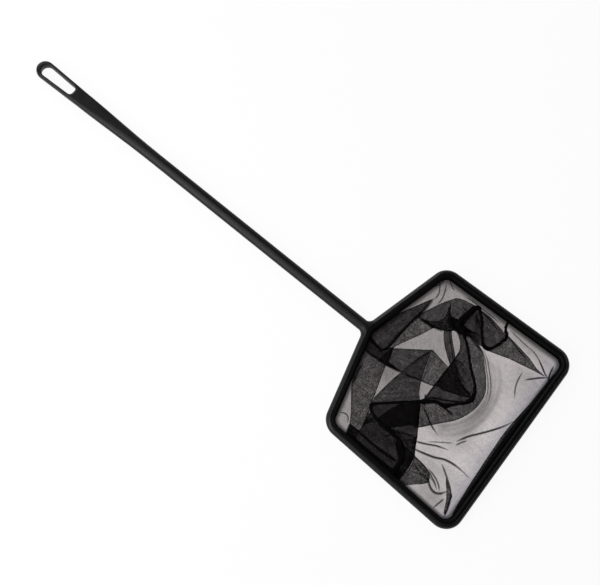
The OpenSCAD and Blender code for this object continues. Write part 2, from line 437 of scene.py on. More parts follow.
# %% Melt the parts together
parts = [bar, handle, *neck]
joined = bpy.data.meshes.new("moulding")
join_meshes([part.data for part in parts], joined)
moulding = bpy.data.objects.new("moulding", joined)
scene.collection.objects.link(moulding)
voxel, smooth_rounds = 0.5, 2
settle(moulding, ("REMESH", {"mode": "VOXEL", "voxel_size": voxel * MM, "use_smooth_shade": True}))
skin = bmesh.new()
skin.from_mesh(moulding.data)
for _ in range(smooth_rounds):
    bmesh.ops.smooth_vert(
        skin, verts=skin.verts, factor=0.5, use_axis_x=True, use_axis_y=True, use_axis_z=True
    )
skin.to_mesh(moulding.data)
skin.free()
for tool in [*parts, cutter]:
    bpy.data.objects.remove(tool)
print("moulding faces:", len(moulding.data.polygons))

# %% [markdown]
# ## The retaining ring and the hem
#
# The ring presses the bag's hem on the ledge. It is the same kind of sweep as the bar, with
# its long edges eased by a bevel so that they catch a thin line of light. The hem is the
# doubled edge of the mesh. Only its inner lip shows, and it is a soft flattened roll.

# %% Make the ring
ring_drop, ring_gap, ring_chamfer, ring_ease = 0.3, 0.1, 0.7, 0.22
ring_out, ring_low, ring_top = rim_w + ring_gap, ledge_h + hem_t, bar_h - ring_drop
ring_bm = carry_round_head([
    (bar_w - ring_chamfer, ring_top), (ring_out, ring_top), (ring_out, ring_low),
    (bar_w, ring_low), (bar_w, ring_top - ring_chamfer),
])
# The long edges are level and have a clear angle, in radians, between their faces
clear_angle = 0.4
long_edges = [e for e in ring_bm.edges if abs(e.verts[0].co.z - e.verts[1].co.z) < same_place]
long_edges = [e for e in long_edges if e.calc_face_angle(0) > clear_angle]
bmesh.ops.bevel(
    ring_bm, geom=long_edges, offset=ring_ease, offset_type="OFFSET", affect="EDGES",
    segments=3, profile=0.5, material=-1,
)
ring = finish_piece(ring_bm, "ring")
print("ring faces:", len(ring.data.polygons))

# %% Make the hem
hem_lip, hem_steps = 0.9, 8
hem_in, hem_round = bar_w + hem_lip, hem_t / 2
hem_section = arc((hem_in - hem_round, ledge_h + hem_round), hem_round, -90, 90, hem_steps)
hem_section += arc((ring_out + hem_round, ledge_h + hem_round), hem_round, 90, 270, hem_steps)
hem_bm = carry_round_head(hem_section)
print("hem faces:", len(hem_bm.faces))

# %% [markdown]
# ## The bag as layers
#
# The real bag is one pouch of mesh, pressed flat. Where it is pulled tight it is a single
# layer, and where it is slack it doubles back on itself, so that two more layers lie on the
# first. A cloth simulation would fold, but never in the same places. So the first layer is
# a sheet over the whole head, cut along the seam into its two panels, and each fold is a
# flat pocket with a top and a bottom layer, joined along its folded edges and laid on what
# is under it. Overlapping pockets give the darkest places, as they do on the real bag.
#
# The folds' outlines are drawn in the head's own millimetres, with few points.

# %% The seam's path and the folds
seam_line = [
    (153.5, 68), (154, 64), (155.5, 61), (158.5, 59.5), (159, 55), (157.3, 49), (155.5, 44),
    (152.5, 41.8), (149.5, 42.5), (146, 46), (141.5, 52), (137.5, 57), (134, 60.5), (131, 61.5),
    (129.3, 58), (128.3, 53), (127.4, 47), (127.5, 42), (131, 41), (136, 38.8), (140, 36),
    (143.5, 32.8), (148, 28.3), (153, 23.2), (158.5, 19), (162, 15.5), (164.3, 11.5), (165.3, 7),
    (163, 2.2), (159.3, -1.2), (156, -5), (153, -8.3), (149, -8.6), (145.5, -10), (141.5, -13.8),
    (138.3, -16.6), (133, -20.8), (127, -26.3), (120, -32.6), (114.6, -37.6), (114.4, -39.3),
    (117, -41.8), (122, -43.8), (128, -44.6), (135, -44.2), (141, -45), (147, -47.5),
    (151, -51.5), (152.5, -57), (152, -68),
]
# Each fold: its panel, how closely its mesh is packed, 1 if it is rounded, and its outline
folds = [
    ("handle", 0.69, 0, [(103.8, 46.8), (103.6, 40), (103, 34), (102, 28), (101.2, 20),
        (100.9, 12), (101, 4), (100.5, -2), (98, -6), (87, -5), (84.2, -2), (84.6, 2), (87.8, 12),
        (91.3, 22.5), (94, 28), (98, 36), (101, 42)]),
    ("handle", 0.59, 0, [(115.7, 57.2), (112.3, 52), (109.5, 47), (107.3, 42), (104, 34.8),
        (102.9, 33), (102.2, 29.8), (115.8, 29.8), (118, 31.4), (122.5, 33.2), (126.9, 36.4),
        (129, 39), (131, 45), (132, 61.6), (127, 61.3), (122, 60.1), (118, 58.7)]),
    ("handle", 0.55, 0, [(114.8, 51.5), (116.4, 46), (117.4, 41.5), (116, 36.5), (111, 32.2),
        (105.3, 29.8), (115.6, 29.5), (118, 31.3), (122.5, 33.2), (126.7, 36.4), (129, 40),
        (122.5, 43.2), (119, 46)]),
    ("handle", 0.8, 0, [(130, 61.5), (134, 61), (139, 55.5), (144, 49), (149, 43), (150, 41.3),
        (140, 41.5), (133, 38.5), (128.5, 38), (127, 44), (128, 52)]),
    ("handle", 0.65, 0, [(133.5, 61.8), (144, 61.4), (150, 60.1), (157.5, 58.8), (158.5, 54),
        (157, 48), (154, 43), (150.5, 41.5), (147, 45.5), (141, 53)]),
    ("handle", 0.5, 0, [(102.2, 29.8), (115.8, 29.8), (112, 21), (109, 15), (105, 7), (103.3, 3),
        (102, -2), (99.3, -2), (100.2, 4), (100.9, 12), (101.2, 20)]),
    ("handle", 0.6, 0, [(104, 2.3), (112, 8.3), (120, 14.3), (124.4, 17.9), (122.5, 11),
        (120.3, 4), (119.3, -2), (118.4, -7.8), (105, -10.9), (100, -11), (101, -3)]),
    ("handle", 0.72, 0, [(124.4, 17.9), (122.5, 11), (120.3, 4), (119.3, -2), (118.4, -7.8),
        (124, -6.6), (131.2, -3.9), (129, 2), (126.5, 10)]),
    ("handle", 0.53, 0, [(124.4, 17.9), (139.8, 15.3), (139.8, -1.6), (131.2, -3.9), (129, 2),
        (126.5, 10)]),
    ("handle", 0.62, 0, [(122.5, 33.2), (127, 36.5), (131, 32), (136, 27.5), (140, 23.5),
        (140, 17), (135, 20.5), (130, 24.5), (126, 28.5)]),
    ("handle", 0.67, 0, [(139.6, 23), (139, 29.5), (136.4, 33.8), (132, 37.3), (128.5, 38.3),
        (131, 41.2), (136, 39), (140, 36), (143.5, 33), (148, 28.3), (153, 23.2), (158.5, 19),
        (162, 15.5), (164.5, 11.5), (165.5, 7), (163, 2), (159.5, -1.5), (156, -5), (153, -8.5),
        (149, -8.8), (145.5, -10.2), (141.5, -14), (139.6, -15.5)]),
    ("handle", 0.6, 0, [(139.8, 22), (144, 19), (148, 16), (152, 13), (158, 10.8), (162, 10.3),
        (164, 8), (160, 5.5), (154, 3), (148, 0.5), (139.8, -0.8)]),
    ("handle", 0.54, 0, [(88, -12.3), (106.3, -11.2), (108.5, -19), (111, -27), (112.9, -33),
        (114.2, -39), (117.3, -43), (119.3, -51), (118.8, -57.5), (119.5, -64.5), (112.5, -64.5),
        (110.5, -57), (107, -51), (101, -43), (95.3, -35.5), (91, -26)]),
    ("handle", 0.64, 0, [(116.7, -8.6), (122, -7), (131, -4), (133.5, -9), (135.3, -12),
        (139.3, -16), (133, -21), (120, -32.5), (113.9, -38.4), (113, -33), (113.5, -29),
        (114.3, -22), (115.3, -15)]),
    ("handle", 0.8, 0, [(86, -2), (92, -3.5), (97, -4), (99.5, -1), (103.3, 2.2), (104.6, -3),
        (106, -8), (118.4, -7.8), (106.3, -11.3), (95, -12.4), (88, -12.6), (85.5, -7)]),
    ("base", 0.62, 1, [(131, 42.5), (135, 44), (143, 42.4), (150, 40.5), (155, 36.2), (160, 31),
        (165, 25.5), (170, 18.5), (171.6, 11), (171, 4), (169, -3), (165, -11), (160, -16.5),
        (155, -22.4), (148.2, -30.6), (145, -32.5), (141, -26.5), (136.5, -20.5), (139, -15.6),
        (144, -11), (149, -8.6), (153, -8.3), (159, -1.5), (163, 2.5), (165, 7), (164, 12),
        (158.5, 19), (148, 28.3), (140, 36), (136, 38.6), (131, 40.8)]),
    ("handle", 0.8, 0, [(114.4, -38), (120, -32.4), (127, -26.1), (133, -20.6), (138.3, -16.4),
        (141, -18), (144, -24), (148, -30), (151, -35), (154, -41), (157.5, -47), (146, -47),
        (135, -45.2), (122, -44), (117.5, -42)]),
    ("handle", 0.7, 0, [(138.5, -17.5), (128.7, -26), (126.5, -31), (124.3, -38), (122.5, -43.8),
        (130, -44.6), (133.5, -42.5), (140, -36), (147, -28.5), (144, -24), (140.5, -18)]),
    ("handle", 0.35, 0, [(150.5, -34), (154, -41), (157.5, -47), (146, -47.2), (136, -45.5),
        (128, -44.8), (133, -42.6), (140, -41.3), (146, -42), (149, -39.5)]),
    ("handle", 0.77, 0, [(117, -42.6), (122, -44.5), (135, -45.2), (146, -47.2), (150, -52),
        (152, -58.3), (152, -66.5), (119.5, -66.5), (118.5, -57)]),
    ("handle", 0.94, 0, [(141, -46), (157.3, -46.6), (158.8, -52), (159.3, -57), (158.6, -67),
        (150.5, -67), (151.8, -58.5), (150, -54.5), (146, -51), (142.5, -48.5)]),
    ("handle", 0.79, 0, [(111, -57), (118.5, -57.3), (119.7, -66.5), (113.5, -66.5)]),
    ("handle", 0.79, 0, [(117, -62.6), (155, -62.8), (155, -66.8), (117, -66.8)]),
    ("base", 0.62, 0, [(155.5, 42), (159, 59.5), (170, 58), (180, 56.3), (188, 53.8),
        (196.5, 52.8), (188, 51.2), (180, 49.3), (170, 47), (160, 43.5)]),
    ("base", 0.65, 0, [(157, -46.6), (165, -47.3), (172, -49.5), (174, -52), (175, -55),
        (172, -58.5), (168, -62), (163, -67), (158.4, -67), (159.3, -57), (158.8, -52)]),
    ("base", 0.62, 0, [(182, -44.5), (190, -49.5), (192.8, -52), (194.3, -57.5), (196.3, -65),
        (194.3, -64), (191, -56.5), (187.5, -51.5), (184, -47.5)]),
    ("handle", 0.82, 1, [(120.5, 44), (125, 46), (131, 45), (136.5, 45), (138.5, 43.3),
        (135.5, 41), (133, 38.7), (128, 37.4), (122, 38), (119, 41)]),
    ("handle", 0.85, 1, [(128, 62), (132.3, 61.5), (130.8, 55), (129.4, 50), (128.8, 44),
        (125, 44), (125.8, 50), (127.2, 56)]),
    ("base", 0.72, 0, [(199.2, 58), (198.8, 50), (198, 30), (196.9, 20), (195.9, 10), (195.6, 0),
        (196.3, -20), (197.3, -40), (198.3, -55), (199.2, -62), (200.1, -60), (200.1, 0),
        (200.1, 57)]),
    ("base", 0.74, 0, [(198.2, 20), (197.4, 8), (197.3, -8), (198, -26), (199, -44), (200, -50),
        (200.1, 0), (199.8, 34)]),
]
print("folds:", len(folds), " points on the seam:", len(seam_line))

# %% [markdown]
# Two questions come up all the time: how far inside an outline is a point, and how high is
# the pile of cloth there? NumPy answers them for all the points of a sheet at once.


# %% Distances inside an outline
def smooth_line(points, closed, rounds=2):
    """Cuts the corners of a line, which turns it into a smooth curve."""
    line = [Vector(point) for point in points]
    for _ in range(rounds):
        pairs = list(zip(line, line[1:] + line[:1])) if closed else list(zip(line, line[1:]))
        cut = [a.lerp(b, share) for a, b in pairs for share in (0.25, 0.75)]
        line = cut if closed else [line[0], *cut, line[-1]]
    return line


def headings(line):
    """The direction of a line at each of its points."""
    last = len(line) - 1
    return [(line[min(n + 1, last)] - line[max(n - 1, 0)]).normalized() for n in range(last + 1)]


def line_distance(places, line, closed=False):
    """The distance from each place to a line, and the nearest point on it."""
    best, nearest = np.full(len(places), 1e9), np.zeros((len(places), 2))
    ends = line[1:] + line[:1] if closed else line[1:]
    for a, b in zip(np.array(line), np.array(ends)):
        way = b - a
        share = np.clip((places - a) @ way / max(way @ way, 1e-9), 0, 1)
        foot = a + share[:, None] * way
        gap = np.linalg.norm(places - foot, axis=1)
        nearest[gap < best] = foot[gap < best]
        best = np.minimum(best, gap)
    return best, nearest


def depth_inside(places, outline):
    """How far each place is inside an outline. It is negative outside."""
    crossings = np.zeros(len(places), int)
    for a, b in zip(np.array(outline), np.array(outline[1:] + outline[:1])):
        between = (a[1] > places[:, 1]) != (b[1] > places[:, 1])
        rise = b[1] - a[1] if b[1] != a[1] else 1e-9
        crossings += between & (places[:, 0] < a[0] + (places[:, 1] - a[1]) * (b[0] - a[0]) / rise)
    gap = line_distance(places, outline, True)[0]
    return np.where(crossings % 2 == 1, gap, -gap)


# %% Draw the outlines once
seam_path = smooth_line(seam_line, False)
outlines = [smooth_line(points, True, 2 if rounded else 0) for _, _, rounded, points in folds]
print("points on the smooth seam:", len(seam_path))

# %% The height of the first layer, and of the pile on it
layer_gap, floor_z, sheet_lift, hem_drop = 0.42, 0.4, 0.3, 0.25
# Each set of waves: its height, its size and its seed
sheet_waves = [(0.3, 14, 3), (0.12, 5, 8)]
# Between which distances inside an edge the sheet climbs to the hem, and a fold lifts the pile
climb_band, lift_band = (0.2, 3.2), (-0.9, 0.5)


def rough(places, size, seed):
    """Gentle hills between -1 and 1, of about the given size."""
    return np.array([noise.noise((x / size, y / size, seed)) for x, y in places])


def first_layer(places, edge_depth):
    """The sheet lies on the table, waves a little and climbs to the hem at the frame."""
    waves = sum(height * rough(places, size, seed) for height, size, seed in sheet_waves)
    climb = 1 - ease(edge_depth, *climb_band)
    return floor_z + sheet_lift + waves * (1 - climb) + climb * (ledge_h - floor_z - hem_drop)


def pile_height(places, count):
    """The height of the top of the cloth once the first so many folds lie on it."""
    height = first_layer(places, depth_inside(places, head_outline))
    for outline in outlines[:count]:
        height = height + 2 * layer_gap * ease(depth_inside(places, outline), *lift_band)
    return height


# %% [markdown]
# ## Cutting a sheet of mesh
#
# A sheet starts as one flat face with the outline of its piece. Two narrow insets mark its
# edge, and rows of straight cuts divide it into a fine grid, so that it can drape.

# %% Cut a flat face into a grid
bag_gap = 0.35
# How fine the grid is, and how wide the bands along the edge are
sheet_step, sheet_bands = 1.1, [0.35, 0.5]
fold_step, fold_bands = 1.5, [0.16, 0.2]


def grid_face(outline, step, bands):
    """A face with this outline, with narrow bands along its edge and then cut into a grid."""
    bm = bmesh.new()
    bm.faces.new([bm.verts.new((x, y, 0)) for x, y in outline])
    for width in bands:
        middle = max(bm.faces, key=lambda face: face.calc_area())
        bmesh.ops.inset_region(bm, faces=[middle], thickness=width, use_even_offset=True)
    spans = [[axis_of(point) for point in outline] for axis_of in (lambda p: p[0], lambda p: p[1])]
    for way, span in zip(((1, 0, 0), (0, 1, 0)), spans):
        cuts = range(math.ceil(min(span) / step), math.floor(max(span) / step) + 1)
        for k in cuts:
            bmesh.ops.bisect_plane(
                bm, geom=bm.verts[:] + bm.edges[:] + bm.faces[:], dist=1e-4,
                plane_co=Vector(way) * k * step, plane_no=way,
            )
    return bm


head_outline = head_plan(bar_w + bag_gap)
sheet_bm = grid_face(head_outline, sheet_step, sheet_bands)
print("first layer faces:", len(sheet_bm.faces))

# %% [markdown]
# ## The two panels' first layer
#
# Both panels are cut from one sheet, so that they meet exactly along the seam. Each point
# also carries two numbers for the material. Cover is the share that is thread, so it sets
# how much of the floor is seen through the mesh. The base bar's panel is pulled tight, which
# opens its mesh, the handle's panel is slack, and folded edges and creases have a high
# cover. Speckle says how uneven the mesh is there: a fold is far more so than a flat sheet.

# %% How closely the mesh is packed
mesh_pitch = 0.5
tight_cover, slack_cover, edge_cover, wall_cover = 0.5, 0.7, 0.93, 0.94
fold_speckle, sheet_speckle = 2.6, {"handle": 1.0, "base": 0.9}
# The sizes and seeds of its slow changes
cover_changes, cover_change = [(16, 21), (4, 5)], 0.03
# Broad soft shading: its panel, its middle, how far it reaches each way, and the added cover
soft_shades = [
    ("base", 199, 0, 7, 70, 0.14), ("base", 172, -6, 9, 26, 0.1),
    ("base", 178, -44, 16, 6, 0.06), ("base", 172, 62, 22, 5, 0.18),
    ("handle", 105, 61, 4, 5, 0.12), ("base", 188, 38, 12, 12, 0.08),
    ("handle", 110, -14, 7, 8, 0.1), ("base", 176, 5, 4, 20, 0.09),
    ("base", 187, 0, 6, 16, -0.07), ("base", 180, -31, 14, 7, -0.09),
    ("base", 184, 45, 10, 5, 0.08), ("base", 181, -60, 13, 6, 0.17),
    ("base", 161, -20, 5, 6, 0.12),
]
# Soft rings of slack round the outer bend of the seam: radius, width and the added cover
rings_x, rings_y, rings_from, rings_to = 140, 8, (-40, -10), (34, 44)
soft_rings = [(33.5, 1.6, 0.16), (36.5, 1.3, 0.1), (40, 1.5, 0.12)]


def places_of(verts):
    """The plan places of vertices, as rows of x and y."""
    return np.array([v.co.xy for v in verts])


def lay_weave(bm, turn_deg):
    """Maps the weave on a sheet, one unit for each mesh opening, turned by an angle."""
    weave = bm.loops.layers.uv.new("weave")
    turned = Matrix.Rotation(math.radians(turn_deg), 2)
    for face in bm.faces:
        for loop in face.loops:
            loop[weave].uv = turned @ loop.vert.co.xy / mesh_pitch


def set_cover(bm, values, unevenness=1.0):
    """Writes the cover of every vertex, and how uneven the mesh is there."""
    # Both layers are made before either is fetched, because a new one moves the others
    for name in ("cover", "speckle"):
        bm.verts.layers.float.new(name)
    cover, speckle = (bm.verts.layers.float[name] for name in ("cover", "speckle"))
    for v, value in zip(bm.verts, values):
        v[cover] = value
        v[speckle] = unevenness


def first_cover(places, panel):
    """How closely the first layer's mesh is packed."""
    cover = slack_cover if panel == "handle" else tight_cover
    for size, seed in cover_changes:
        cover = cover + cover_change * rough(places, size, seed)
    for owner, x, y, reach_x, reach_y, extra in soft_shades:
        if owner == panel:
            away = ((places[:, 0] - x) / reach_x) ** 2 + ((places[:, 1] - y) / reach_y) ** 2
            cover = cover + extra * np.exp(-away)
    if panel == "base":
        out = np.hypot(places[:, 0] - rings_x, places[:, 1] - rings_y)
        rings = sum(depth * np.exp(-((out - at) / wide) ** 2) for at, wide, depth in soft_rings)
        ahead = places[:, 1]
        cover = cover + rings * ease(ahead, *rings_from) * (1 - ease(ahead, *rings_to))
    return cover


# %% Split the sheet along the seam
beyond_x = base_x + 5
base_side = [*seam_path, Vector((beyond_x, -head_w / 2)), Vector((beyond_x, head_w / 2))]
centres = np.array([face.calc_center_median().xy for face in sheet_bm.faces])
on_base = depth_inside(centres, base_side) > 0
half_of = dict(zip(sheet_bm.faces, on_base))
shared = [v for v in sheet_bm.verts if len({half_of[face] for face in v.link_faces}) == 2]
for v, foot in zip(shared, line_distance(places_of(shared), seam_path)[1]):
    v.co.xy = foot
whole = bpy.data.meshes.new("sheet")
flags = sheet_bm.faces.layers.int.new("side")
for face, flag in zip(sheet_bm.faces, on_base):
    face[flags] = int(flag)
sheet_bm.to_mesh(whole)
print("faces on the base bar's side:", int(on_base.sum()), " shared points:", len(shared))

# %% [markdown]
# ## Folds and creases
#
# A fold is a flat pocket. Its lower layer follows what it lies on, and its upper layer
# rises a little inside the folded edge. A crease is too narrow for that: it is a pinch of
# mesh one to three millimetres wide that stands up from the sheet and runs out at its ends.
# A line painted in the material would look much the same from above and vanish from the
# side, so each crease is a strip of its own, extruded along its line.


# %% Make a folded pocket
# Between which depths a pocket's top rises from its edge, and the edge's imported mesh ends
top_band, rim_band = (0, 0.8), (0.02, 0.36)
# How far above the pile a pocket starts, in layer gaps, and its share of the edge's cover
pocket_start, edge_share = 0.8, 0.7
# The amounts and sizes of the slow changes in a fold's cover
fold_changes = [(0.05, 6), (0.03, 1.7)]


def fold_pocket(number):
    """Two layers with a shared folded edge, lying on the first layer and the folds before it."""
    _, packed, _, points = folds[number]
    outline = outlines[number]
    bm = grid_face(outline, fold_step, fold_bands)
    places = places_of(bm.verts)
    under = pile_height(places, number) + pocket_start * layer_gap
    for v, height in zip(bm.verts, under):
        v.co.z = height
    copy = bmesh.ops.duplicate(bm, geom=bm.verts[:] + bm.edges[:] + bm.faces[:])["geom"]
    upper = verts_of(copy)
    rise = layer_gap * ease(depth_inside(places_of(upper), outline), *top_band)
    for v, lift in zip(upper, rise):
        v.co.z += lift
    bmesh.ops.remove_doubles(bm, verts=bm.verts, dist=same_place)
    bmesh.ops.recalc_face_normals(bm, faces=bm.faces)
    places = places_of(bm.verts)
    edge = 1 - ease(depth_inside(places, outline), *rim_band)
    for amount, size in fold_changes:
        packed = packed + amount * rough(places, size, number)
    set_cover(bm, packed + edge_share * (edge_cover - packed) * edge, fold_speckle)
    # The weave of a fold runs along its longest edge
    a, b = max(zip(points, points[1:] + points[:1]), key=lambda pair: math.dist(*pair))
    lay_weave(bm, -math.degrees(math.atan2(b[1] - a[1], b[0] - a[0])))
    return bm


# %% Draw the creases
# Each panel's creases: their width, their cover and the line they follow
creases = {
    "handle": [
        (0.9, 0.9, [(103.9, 47), (103.6, 40), (102.8, 33), (101.6, 25), (101, 15), (100.6, 8),
            (99.5, -1), (97, -7)]),
        (1.3, 0.92, [(88, -11.5), (98, -11.6), (106, -10.8), (113, -9.4), (119, -7.9)]),
        (0.8, 0.88, [(117, -8.6), (122, -7), (128, -5), (132, -3.8), (139.5, -1.8)]),
        (0.7, 0.85, [(121, 62.2), (126, 63), (134, 62.8), (142, 63), (150, 62.5)]),
        (0.6, 0.8, [(135, 61.8), (143, 61.3), (150, 60), (157, 58.8)]),
        (0.9, 0.88, [(112, -57.4), (125, -57.7), (138, -58.8), (150, -57.8)]),
        (0.7, 0.8, [(100, 58.5), (103, 55.5), (105, 51), (104.5, 46)]),
        (0.7, 0.8, [(104.5, 61), (107.5, 55), (108.7, 50), (108.3, 45)]),
        (0.6, 0.75, [(103.5, 64.5), (108, 62), (112, 60.5)]),
        (0.6, 0.75, [(96.5, 51), (100.5, 55), (102, 60), (101, 64)]),
        (0.9, 0.85, [(114.9, 52), (116.4, 47), (118.5, 44), (122.5, 43.5)]),
        (0.8, 0.85, [(103.5, 29.9), (109, 29.5), (114, 29.6), (121, 33.2)]),
        (0.7, 0.8, [(126, 34.5), (131, 29.5), (136, 24.5), (139.5, 21)]),
        (0.9, 0.9, [(133, 57), (136, 53), (139, 50.5)]),
        (0.9, 0.9, [(131, 43.5), (136, 44.6), (140, 44), (146, 42.5)]),
        (0.8, 0.9, [(139.8, 31), (139.9, 18), (139.8, 0), (139.9, -14)]),
        (0.8, 0.85, [(140, 22), (144, 23), (148, 22)]),
        (1.0, 0.93, [(164, 4.5), (158, -0.5), (150, -5.2), (143, -8.8), (139.5, -12)]),
        (0.7, 0.85, [(148, 12), (155, 9.5), (162, 9)]),
        (0.7, 0.8, [(101, -56), (103.5, -54), (106, -53.7), (108, -55), (109.5, -58)]),
        (0.8, 0.88, [(115.2, -42), (117.2, -48), (118.6, -55)]),
        (0.8, 0.88, [(123.5, -45), (120.5, -48), (118.6, -51.5)]),
        (0.8, 0.8, [(139, -46.5), (143, -49), (147, -52.5), (150.5, -56)]),
        (1.2, 0.95, [(148, -8.8), (155, -9), (162, -9)]),
        (0.9, 0.93, [(138.5, -9), (140.5, -13), (143.5, -17)]),
        (1.0, 0.9, [(130.0, 42.0), (137.6, 44.7), (144.5, 47.0)]),
        (0.7, 0.8, [(133.9, 56.3), (140.3, 51.5), (146.5, 46.7)]),
        (0.9, 0.85, [(136.9, 41.7), (146.2, 39.5), (151.6, 38.0)]),
        (0.6, 0.75, [(140.2, 21.6), (145.7, 21.2), (152.9, 18.4)]),
        (0.7, 0.8, [(139.4, 22.0), (146.9, 16.4), (157.4, 12.4)]),
        (1.1, 0.88, [(105.5, 29.0), (114.7, 30.2), (122.5, 32.5)]),
        (1.4, 0.85, [(98.8, -2.6), (100.0, 13.8), (103.3, 30.9), (104.6, 46.0)]),
        (0.9, 0.85, [(122.5, 54.8), (126.7, 54.3), (129.8, 55.4)]),
        (1.3, 0.93, [(118.1, -58.4), (131.5, -58.5), (143.0, -57.7), (150.8, -57.2)]),
        (1.1, 0.85, [(117.7, -51.5), (120.6, -44.2), (125.2, -44.7)]),
        (1.0, 0.85, [(132.7, -50.5), (137.1, -45.2), (142.1, -43.8)]),
        (0.9, 0.85, [(134.8, -43.7), (143.4, -39.1), (151.2, -36.5)]),
        (0.9, 0.8, [(117.2, -9.0), (119.5, 4.3), (123.8, 16.8)]),
        (0.8, 0.8, [(96.6, -35.9), (93.9, -26.9), (93.4, -19.8)]),
    ],
    "base": [
        (0.9, 0.92, [(141, -16.5), (148, -20.5), (153, -23.5), (161, -25.8)]),
        (0.6, 0.8, [(142, 41.5), (150, 39.8), (156, 36.2), (161, 31), (166, 26), (170.5, 20),
            (172.5, 15)]),
        (0.6, 0.72, [(150, 41), (157, 37.6), (162.5, 32), (168, 26.5), (172, 21.5), (174.5, 16),
            (175.6, 11)]),
        (0.7, 0.85, [(181.8, 45.5), (182.3, 39), (184, 33), (188, 27)]),
        (1.0, 0.96, [(196.8, 15), (193, 7), (188, -0.5), (182, -8.5), (178, -13.5), (175, -19),
            (173.6, -21.5)]),
        (0.7, 0.85, [(179, -16.5), (176.5, -20), (174.8, -24)]),
        (0.9, 0.93, [(149, -40.2), (155, -37.5), (160, -35), (165, -32), (173, -29.3)]),
        (0.6, 0.72, [(173, -23.5), (165, -29), (159, -33.5)]),
        (1.1, 0.97, [(148, -45), (155, -43.2), (163, -41), (169, -39), (173, -36.5), (178, -35),
            (185, -34.3), (195.5, -35.2)]),
        (0.9, 0.88, [(158, -46.8), (170, -48.8), (177, -51.5), (182, -55)]),
        (0.8, 0.85, [(169, -47.4), (176, -49), (181, -51.5), (184, -54.8)]),
        (1.2, 0.93, [(171, -52), (175, -55), (179, -57.3), (183, -57.4), (186, -55),
            (188, -51.5)]),
        (0.9, 0.88, [(174.5, -39.3), (180, -42.6), (186, -47), (190.5, -50.5)]),
        (0.9, 0.92, [(190, -50), (193, -55), (195, -61), (196, -66)]),
        (0.8, 0.85, [(189.3, -56.5), (188.2, -61), (187, -66)]),
        (0.7, 0.8, [(160, -51), (166, -53.5), (172, -52.5)]),
        (0.8, 0.85, [(160, 58.7), (166, 56.7), (172, 55.2), (180, 53.8)]),
        (0.9, 0.95, [(186, 41.8), (190, 46.2), (193.5, 50), (197.5, 53.2)]),
        (0.8, 0.88, [(186, 59.6), (190, 57), (194, 54.6), (198, 53.2)]),
        (0.9, 0.95, [(199.2, 50), (198, 54), (197, 58), (196.3, 63)]),
        (0.7, 0.8, [(176, 62.5), (184, 60.5), (190, 57.5), (196, 53.6)]),
        (0.6, 0.75, [(158, 63.5), (168, 62.4), (178, 61.5)]),
        (0.8, 0.85, [(133.5, 61.0), (141.9, 59.9), (152.3, 57.5)]),
        (0.6, 0.7, [(161.2, -56.2), (168.9, -53.6), (176.2, -53.7)]),
        (0.6, 0.65, [(160.0, -49.9), (168.7, -50.2), (177.7, -52.5)]),
    ],
}
print("creases:", {panel: len(drawn) for panel, drawn in creases.items()})


# %% Raise a crease
crease_faces, crease_spread, crease_rise, crease_lift = 6, 1.85, 0.9, 0.1
# What is left of a crease's size and of its cover at its very ends
end_size, end_cover, crease_weave_deg = 0.15, 0.4, 31


def crease_strip(width, packed, points):
    """A pinch of mesh that follows a line on top of the pile."""
    line = smooth_line(points, False)
    places = np.array(line)
    ground = pile_height(places, len(folds)) + crease_lift
    bm = bmesh.new()
    order = bm.verts.layers.int.new("order")
    edges, covers = [], []
    for n, (place, way) in enumerate(zip(line, headings(line))):
        across = left_of(way)
        from_end = min(n, len(line) - 1 - n) / len(line)
        fullness = min(1, 4 * from_end) * (1 - end_size) + end_size
        if n:
            made = bmesh.ops.extrude_edge_only(bm, edges=edges)["geom"]
            row, edges = verts_of(made), edges_of(made)
        else:
            row = [bm.verts.new() for _ in range(crease_faces + 1)]
            for k, v in enumerate(row):
                v[order] = k
            edges = [bm.edges.new(pair) for pair in zip(row, row[1:])]
        for v in row:
            share = v[order] / crease_faces
            spot = place + across * (share - 0.5) * crease_spread * width * fullness
            rise = math.sin(math.pi * share) * width * crease_rise * fullness
            v.co = (*spot, ground[n] + rise)
            strength = end_cover + (1 - end_cover) * fullness
            covers.append(packed * abs(math.sin(math.pi * share)) ** 0.5 * strength)
    set_cover(bm, covers)
    lay_weave(bm, crease_weave_deg)
    return bm


# %% Gather each panel's layers into one piece
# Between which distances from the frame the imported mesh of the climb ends, and how the
# weave of each panel is turned
wall_band, weave_deg = (1.0, 4.0), {"handle": 40, "base": 4}


def make_panel(panel):
    """One panel of the bag: its part of the first layer, its folds and its creases."""
    bm = bmesh.new()
    bm.from_mesh(whole)
    side = bm.faces.layers.int["side"]
    other = [face for face in bm.faces if face[side] != (panel == "base")]
    bmesh.ops.delete(bm, geom=other, context="FACES")
    places = places_of(bm.verts)
    edge_depth = depth_inside(places, head_outline)
    for v, height in zip(bm.verts, first_layer(places, edge_depth)):
        v.co.z = height
    climb = 1 - ease(edge_depth, *wall_band)
    flat_cover = first_cover(places, panel)
    set_cover(bm, flat_cover + (wall_cover - flat_cover) * climb, sheet_speckle[panel])
    lay_weave(bm, weave_deg[panel])
    layers = [fold_pocket(n) for n, fold in enumerate(folds) if fold[0] == panel]
    layers += [crease_strip(*crease) for crease in creases[panel]]
    for layer in layers:
        part = bpy.data.meshes.new("layer")
        layer.to_mesh(part)
        layer.free()
        bm.from_mesh(part)
        bpy.data.meshes.remove(part)
    return finish_piece(bm, f"bag_{panel}_side", crease_deg=70, outwards=False)


set_cover(hem_bm, [edge_cover] * len(hem_bm.verts))
lay_weave(hem_bm, 0)
hem = finish_piece(hem_bm, "hem", crease_deg=60)
panels = {panel: make_panel(panel) for panel in ("handle", "base")}
panel_area = {k: sum(f.area for f in p.data.polygons) for k, p in panels.items()}
print("mesh in each panel, square metres:", {k: round(a, 4) for k, a in panel_area.items()})

